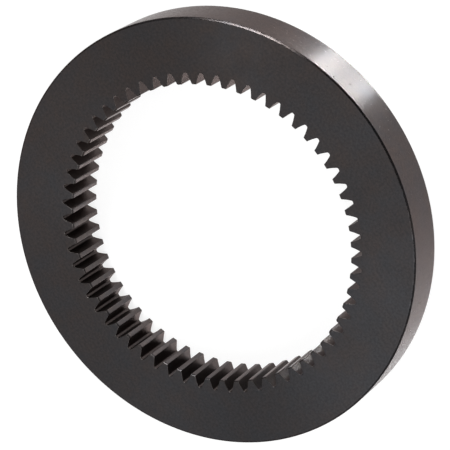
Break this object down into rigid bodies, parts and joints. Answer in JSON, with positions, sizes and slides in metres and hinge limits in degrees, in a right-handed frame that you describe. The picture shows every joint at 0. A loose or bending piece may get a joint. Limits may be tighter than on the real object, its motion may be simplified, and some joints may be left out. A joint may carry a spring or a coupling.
{
  "type": "internal ring gear",
  "caption": "Flat steel ring with straight internal spur teeth, a plain cylindrical rim and chamfered edges, black oxide finish.",
  "frame": {"origin": "on the ring's axis, in the plane of its lower face, which it rests on", "axes": "+Z along the ring's axis, up from the lower face; one tooth space is centred on +X"},
  "size_m": [0.25, 0.25, 0.0285],
  "materials": {
    "black_oxide_steel": "black oxide over fine turned steel, satin, slightly lighter where the edges and tooth tips are rubbed"
  },
  "bodies": {
    "root": {"ring_gear": "black_oxide_steel"}
  },
  "joints": []
}
